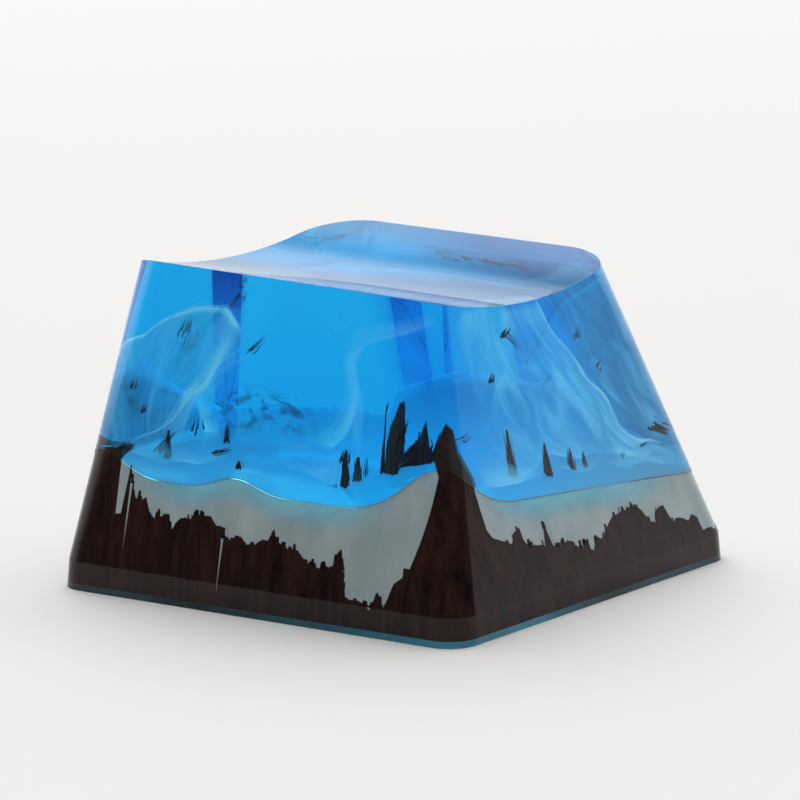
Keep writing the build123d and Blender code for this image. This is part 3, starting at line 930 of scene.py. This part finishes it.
def break_fibres(seed):
    """Flat fibres that stand up from the break lines, between the wood's faces and the pour's."""
    chance = random.Random(seed)
    points = []
    faces = []
    walls = (
        ("left", LEFT_BREAK, 1),
        ("front", FRONT_BREAK, 1),
        ("right", FRONT_BREAK, -1),
        ("back", LEFT_BREAK, -1),
    )
    for wall, break_line, turn in walls:
        for fibre in range(FIBRES):
            share = chance.uniform(-FIBRE_SPAN, FIBRE_SPAN)
            half = chance.uniform(*FIBRE_HALVES)
            along = turn * share * HALF_WIDTH
            level = break_height(break_line, share)
            foot = max(level - FIBRE_ROOT, SKIRT_HEIGHT)
            tip = max(level, SKIRT_HEIGHT) + min(chance.expovariate(1 / FIBRE_RISE), FIBRE_TALLEST)
            lean = chance.uniform(-FIBRE_LEAN, FIBRE_LEAN) * half
            first = len(points)
            for inset in (FIBRE_OUTER, FIBRE_INNER):
                points.append(wall_point(wall, along - half, foot, inset))
                points.append(wall_point(wall, along + half, foot, inset))
                points.append(wall_point(wall, along + lean + half * FIBRE_TAPER, tip, inset))
                points.append(wall_point(wall, along + lean - half * FIBRE_TAPER, tip, inset))
            sides = ((0, 1, 2, 3), (7, 6, 5, 4), (1, 0, 4, 5), (2, 1, 5, 6), (3, 2, 6, 7), (0, 3, 7, 4))
            faces.extend([first + corner for corner in side] for side in sides)
    data = bpy.data.meshes.new("break_fibres")
    data.from_pydata(points, [], faces)
    fibres = bpy.data.objects.new("break_fibres", data)
    bpy.context.scene.collection.objects.link(fibres)
    make_active(fibres)
    bpy.ops.object.mode_set(mode="EDIT")
    finish_editing()
    bring_to_metres(fibres)
    return fibres


def pour_stain():
    """Thin strips along the walls, from the pour's edge down."""
    strips = []
    for wall in ("left", "front", "right", "back"):
        deselect_all()
        bpy.ops.mesh.primitive_grid_add(x_subdivisions=STAIN_STEPS, y_subdivisions=STAIN_ROWS, size=2)
        strip = bpy.context.object
        covers = strip.data.attributes.new("cover", "FLOAT", "POINT")
        for point in strip.data.vertices:
            ends = smooth_rise((1 - abs(point.co.x)) / STAIN_FADE)
            covers.data[point.index].value = STAIN_COVER * ends * smooth_rise((point.co.y + 1) / 2)
            along = point.co.x * STAIN_SPAN
            fall = (1 - point.co.y) / 2 * STAIN_FALL
            edge = wall_point(wall, along, POUR_LEVEL, STAIN_INSET)
            edge = wall_point(wall, along, pour_height(edge.x, edge.y), STAIN_INSET)
            point.co = wall_point(wall, along, pour_height(edge.x, edge.y) - fall, STAIN_INSET)
        body = strip.modifiers.new("body", "SOLIDIFY")
        body.thickness = STAIN_THICKNESS
        body.offset = 0
        apply_modifier(strip, "body")
        strips.append(strip)
    return join_pieces("pour_stain", strips)


# Materials

def noise_colours(nodes, links, scale, detail, colours):
    """A dark and a light colour blended by noise on object coordinates, with a scale along each axis."""
    place = nodes.new("ShaderNodeTexCoord")
    stretch = nodes.new("ShaderNodeMapping")
    stretch.inputs["Scale"].default_value = scale
    cloud = nodes.new("ShaderNodeTexNoise")
    cloud.inputs["Scale"].default_value = 1
    cloud.inputs["Detail"].default_value = detail
    colour = nodes.new("ShaderNodeValToRGB")
    for element, position, tint in zip(colour.color_ramp.elements, (0.3, 0.7), colours):
        element.position = position
        element.color = tint
    links.new(place.outputs["Object"], stretch.inputs["Vector"])
    links.new(stretch.outputs["Vector"], cloud.inputs["Vector"])
    links.new(cloud.outputs["Fac"], colour.inputs["Fac"])
    return colour.outputs["Color"]


def blue_resin():
    """Clear resin that takes the red out of the light, with a slightly uneven polish."""
    material, nodes, links, shader = new_material("clear_blue_resin")
    links.new(noise_colours(nodes, links, POLISH_CLOUDS, 3, POLISH), shader.inputs["Roughness"])
    shader.inputs["Base Color"].default_value = (1, 1, 1, 1)
    shader.inputs["IOR"].default_value = RESIN_IOR
    shader.inputs["Transmission Weight"].default_value = 1
    absorption = nodes.new("ShaderNodeVolumeAbsorption")
    absorption.inputs["Color"].default_value = RESIN_TINT
    absorption.inputs["Density"].default_value = RESIN_DENSITY
    links.new(absorption.outputs["Volume"], nodes["Material Output"].inputs["Volume"])
    return material


def dark_wood():
    material, nodes, links, shader = new_material("dark_wood")
    links.new(noise_colours(nodes, links, WOOD_GRAIN, 6, WOOD_COLOURS), shader.inputs["Base Color"])
    shader.inputs["Roughness"].default_value = 0.12
    shader.inputs["Specular IOR Level"].default_value = 0.22
    return material


def milky_resin():
    """Grey and cloudy at the faces; on top stained blue, with painted light: a small painted glow where it
    faces up, and a lightness that changes from the near to the far side, palest at the far side.
    """
    material, nodes, links, shader = new_material("milky_resin")
    sides = noise_colours(nodes, links, MILK_CLOUDS, 4, MILK_COLOURS)
    surface = nodes.new("ShaderNodeNewGeometry")
    facing = nodes.new("ShaderNodeSeparateXYZ")
    upward = map_range(nodes, POUR_FACING)
    glow = map_range(nodes, POUR_FACING, (0, POUR_PAINTED_GLOW))
    place = nodes.new("ShaderNodeTexCoord")
    away = nodes.new("ShaderNodeVectorMath")
    away.operation = "DOT_PRODUCT"
    away.inputs[1].default_value = POUR_AWAY
    reach = map_range(nodes, (-HALF_WIDTH * MM, HALF_WIDTH * MM))
    top = nodes.new("ShaderNodeValToRGB")
    top.color_ramp.elements[0].color = POUR_NEAR
    top.color_ramp.elements[1].color = POUR_FAR_LIT
    for position, colour in POUR_BETWEEN:
        top.color_ramp.elements.new(position).color = colour
    blend = nodes.new("ShaderNodeMix")
    blend.data_type = "RGBA"
    links.new(place.outputs["Object"], away.inputs[0])
    links.new(away.outputs["Value"], reach.inputs["Value"])
    links.new(reach.outputs["Result"], top.inputs["Fac"])
    links.new(surface.outputs["Normal"], facing.inputs["Vector"])
    links.new(facing.outputs["Z"], upward.inputs["Value"])
    links.new(facing.outputs["Z"], glow.inputs["Value"])
    links.new(upward.outputs["Result"], blend.inputs["Factor"])
    links.new(sides, blend.inputs["A"])
    links.new(top.outputs["Color"], blend.inputs["B"])
    links.new(blend.outputs["Result"], shader.inputs["Base Color"])
    # Painted glow: the top's colours are given out as light where the pour faces up
    links.new(top.outputs["Color"], shader.inputs["Emission Color"])
    links.new(glow.outputs["Result"], shader.inputs["Emission Strength"])
    shader.inputs["Roughness"].default_value = 0.15
    return material


def clear_resin():
    """Teal near the corner that the photo shows lit, and darker with distance, over the dark wood."""
    material, nodes, links, shader = new_material("clear_teal_resin")
    place = nodes.new("ShaderNodeTexCoord")
    distance = nodes.new("ShaderNodeVectorMath")
    distance.operation = "DISTANCE"
    distance.inputs[1].default_value = LIT_CORNER
    fade = map_range(nodes, LIT_REACH)
    # Painted light near the corner, fading to painted shade with distance
    tint = nodes.new("ShaderNodeMix")
    tint.data_type = "RGBA"
    links.new(place.outputs["Object"], distance.inputs[0])
    links.new(distance.outputs["Value"], fade.inputs["Value"])
    links.new(fade.outputs["Result"], tint.inputs["Factor"])
    links.new(noise_colours(nodes, links, LINER_CLOUDS, 2, LIT_LINER), tint.inputs["A"])
    links.new(noise_colours(nodes, links, LINER_CLOUDS, 2, SHADED_LINER), tint.inputs["B"])
    links.new(tint.outputs["Result"], shader.inputs["Base Color"])
    shader.inputs["Roughness"].default_value = 0.15
    shader.inputs["Specular IOR Level"].default_value = 0.25
    shader.inputs["Transmission Weight"].default_value = 0.2
    return material


def white_wisp():
    """Pale threads of smoke, whose light is a painted glow in place of the light that scatters in the resin.
    """
    material, nodes, links, shader = new_material("white_wisp")
    links.new(noise_colours(nodes, links, WISP_CLOUDS, 3, WISP_GLOW_COLOURS), shader.inputs["Emission Color"])
    shader.inputs["Emission Strength"].default_value = WISP_PAINTED_GLOW
    shader.inputs["Base Color"].default_value = (0.1, 0.16, 0.18, 1)
    shader.inputs["Roughness"].default_value = 0.8
    return material


def sheet_cover(nodes, name):
    """What a sheet's mesh says at each point, as its cover or its crests."""
    attribute = nodes.new("ShaderNodeAttribute")
    attribute.attribute_name = name
    return attribute.outputs["Fac"]


def sheet_noise(nodes, links, scale, detail, low, high):
    """Streaks on a sheet's own coordinates, from nothing to one."""
    place = nodes.new("ShaderNodeTexCoord")
    stretch = nodes.new("ShaderNodeMapping")
    stretch.inputs["Scale"].default_value = scale
    streak = nodes.new("ShaderNodeTexNoise")
    streak.inputs["Scale"].default_value = 1
    streak.inputs["Detail"].default_value = detail
    streak.inputs["Distortion"].default_value = 0.8
    density = map_range(nodes, (low, high))
    density.interpolation_type = "SMOOTHSTEP"
    links.new(place.outputs["UV"], stretch.inputs["Vector"])
    links.new(stretch.outputs["Vector"], streak.inputs["Vector"])
    links.new(streak.outputs["Fac"], density.inputs["Value"])
    return density.outputs["Result"]


def smoky_veil(name, thin, dense):
    """Smoke whose light is a painted glow: dim and blue where it is thin and paler where it gathers."""
    material, nodes, links, shader = new_material(name)
    gathered = nodes.new("ShaderNodeMath")
    gathered.operation = "ADD"
    shade = map_range(nodes, (0, GATHERED_MOST))
    body = map_range(nodes, (0, GATHERED_MOST), SMOKE_BODY)
    smoke = nodes.new("ShaderNodeValToRGB")
    smoke.color_ramp.elements[0].color = thin
    smoke.color_ramp.elements[1].position = 0.5
    smoke.color_ramp.elements[1].color = dense
    smoke.color_ramp.elements.new(1).color = CREST_GLOW_COLOUR
    seen = nodes.new("ShaderNodeMath")
    seen.operation = "MULTIPLY"
    seen.use_clamp = True
    links.new(sheet_noise(nodes, links, SMOKE_STREAKS, 5, 0.3, 0.75), gathered.inputs[0])
    links.new(sheet_cover(nodes, "crest"), gathered.inputs[1])
    links.new(gathered.outputs["Value"], shade.inputs["Value"])
    links.new(gathered.outputs["Value"], body.inputs["Value"])
    links.new(shade.outputs["Result"], smoke.inputs["Fac"])
    links.new(body.outputs["Result"], seen.inputs[0])
    links.new(sheet_cover(nodes, "cover"), seen.inputs[1])
    links.new(seen.outputs["Value"], shader.inputs["Alpha"])
    # Painted glow: the smoke's colour is given out as light
    links.new(smoke.outputs["Color"], shader.inputs["Emission Color"])
    shader.inputs["Emission Strength"].default_value = 1
    shader.inputs["Base Color"].default_value = (0.04, 0.08, 0.1, 1)
    shader.inputs["Roughness"].default_value = 0.8
    return material


def wood_dust_and_shade():
    """Dark specks that thin out towards the edges of their sheet, and painted shade where the sheet lies
    under the top face.
    """
    material, nodes, links, shader = new_material("wood_dust_and_shade")
    seen = nodes.new("ShaderNodeMath")
    seen.operation = "MULTIPLY"
    links.new(sheet_noise(nodes, links, DUST_SPECKS, 3, 0.4, 0.75), seen.inputs[0])
    links.new(sheet_cover(nodes, "cover"), seen.inputs[1])
    links.new(seen.outputs["Value"], shader.inputs["Alpha"])
    links.new(noise_colours(nodes, links, DUST_CLOUDS, 3, DUST_COLOURS), shader.inputs["Base Color"])
    shader.inputs["Roughness"].default_value = 0.9
    return material


def blue_stain():
    """Blue that fades out downwards into the milky pour, with a painted glow."""
    material, nodes, links, shader = new_material("blue_stain")
    stain = noise_colours(nodes, links, STAIN_CLOUDS, 3, STAIN_COLOURS)
    links.new(sheet_cover(nodes, "cover"), shader.inputs["Alpha"])
    links.new(stain, shader.inputs["Base Color"])
    links.new(stain, shader.inputs["Emission Color"])
    shader.inputs["Emission Strength"].default_value = STAIN_PAINTED_GLOW
    shader.inputs["Roughness"].default_value = 0.15
    return material


def dress(node, material):
    """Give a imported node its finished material."""
    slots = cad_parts[node].data.materials
    slots.clear()
    slots.append(material)


camera_place, camera_right, camera_up = place_camera()
studio_world()
studio_floor()
for soft_box_sizes in SOFT_BOXES:
    soft_box(*soft_box_sizes)

cap = blue_cap()
cap.data.materials.append(blue_resin())
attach(cap, "root")
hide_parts("blue_resin_cap")

layer = milky_layer()
layer.data.materials.append(milky_resin())
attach(layer, "root")
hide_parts("white_resin_layer")

stain = pour_stain()
stain.data.materials.append(blue_stain())
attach(stain, "root")

# Blender seeds its vector noise by the clock, so a seed of its own keeps the smoke the same on each run
noise.seed_set(SWIRL_SEED)
wisp_finish = white_wisp()
thread_groups = (
    ("bell_wisps", BELL_THREADS, "bell_wisp"),
    ("column_wisps", COLUMN_THREADS, "column_wisp"),
    ("loop_wisps", LOOP_THREADS, None),
)
for seed, (name, veils, node) in enumerate(thread_groups):
    threads = wisp_threads(name, veils, seed)
    threads.data.materials.append(wisp_finish)
    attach(threads, "root")
    if node:
        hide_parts(node)

dim_smoke_glow = smoky_veil("dim_smoke_glow", *DIM_SMOKE_GLOW)
pale_smoke_glow = smoky_veil("pale_smoke_glow", *PALE_SMOKE_GLOW)
smoke_pieces = (
    (wisp_veils("bell_veil", BELL_VEILS), dim_smoke_glow),
    (wisp_veils("column_veil", COLUMN_VEILS), pale_smoke_glow),
    (wisp_veils("loop_veil", LOOP_VEILS), pale_smoke_glow),
    (wisp_veils("low_veil", LOW_VEILS), pale_smoke_glow),
    (wisp_veils("wedge_shade_veil", WEDGE_SHADE_VEILS), dim_smoke_glow),
)
for veil, finish in smoke_pieces:
    veil.data.materials.append(finish)
    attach(veil, "root")

dust_and_shade = wisp_veils("dust_and_shade_veil", DUST_AND_SHADE_VEILS)
dust_and_shade.data.materials.append(wood_dust_and_shade())
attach(dust_and_shade, "root")

wood_finish = dark_wood()
for chips in (splinter_slivers(SLIVER_SEED), loose_chips(CHIP_SEED), break_fibres(FIBRE_SEED)):
    chips.data.materials.append(wood_finish)
    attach(chips, "root")

dress("wood_base", wood_finish)
dress("stem_liner", clear_resin())

bpy.context.scene.view_settings.view_transform = "Standard"
